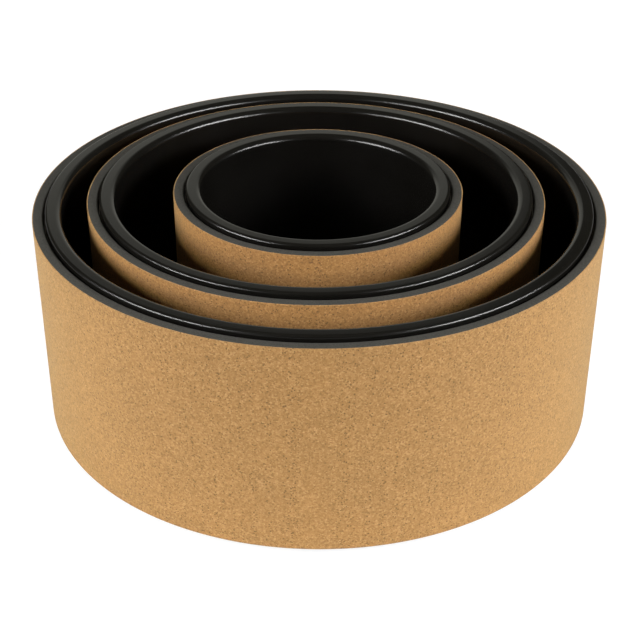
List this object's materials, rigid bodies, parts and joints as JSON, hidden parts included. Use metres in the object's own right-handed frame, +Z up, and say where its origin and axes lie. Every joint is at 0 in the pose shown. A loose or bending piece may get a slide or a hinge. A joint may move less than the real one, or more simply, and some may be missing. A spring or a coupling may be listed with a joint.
{
  "type": "yoga wheel set",
  "caption": "Nested cork-covered yoga wheels: rigid black hoops padded with foam and wrapped in cork, stored one inside another on their side faces; each lifts out to support stretches.",
  "frame": {"origin": "on the axis of the large wheel, at the floor it stands on", "axes": "+Z up along the wheels' axes, -Y towards the pictured front, +X to the right from there"},
  "size_m": [0.33, 0.33, 0.131],
  "materials": {
    "hoop_plastic": "satin",
    "foam": "matte",
    "cork": "matte",
    "adhesive": "matte"
  },
  "bodies": {
    "large_wheel": {"large_hoop": "hoop_plastic", "large_foam_tape": "adhesive", "large_foam_pad": "foam", "large_cork_film": "adhesive", "large_cork_cover": "cork"},
    "medium_wheel": {"medium_hoop": "hoop_plastic", "medium_foam_tape": "adhesive", "medium_foam_pad": "foam", "medium_cork_film": "adhesive", "medium_cork_cover": "cork"},
    "small_wheel": {"small_hoop": "hoop_plastic", "small_foam_tape": "adhesive", "small_foam_pad": "foam", "small_cork_film": "adhesive", "small_cork_cover": "cork"}
  },
  "joints": [
    {"name": "medium_wheel_lift", "type": "slide", "parent": "large_wheel", "child": "medium_wheel", "axis": [0, 0, 1], "range_m": [0, 0.14]},
    {"name": "small_wheel_lift", "type": "slide", "parent": "large_wheel", "child": "small_wheel", "axis": [0, 0, 1], "range_m": [0, 0.14]}
  ]
}
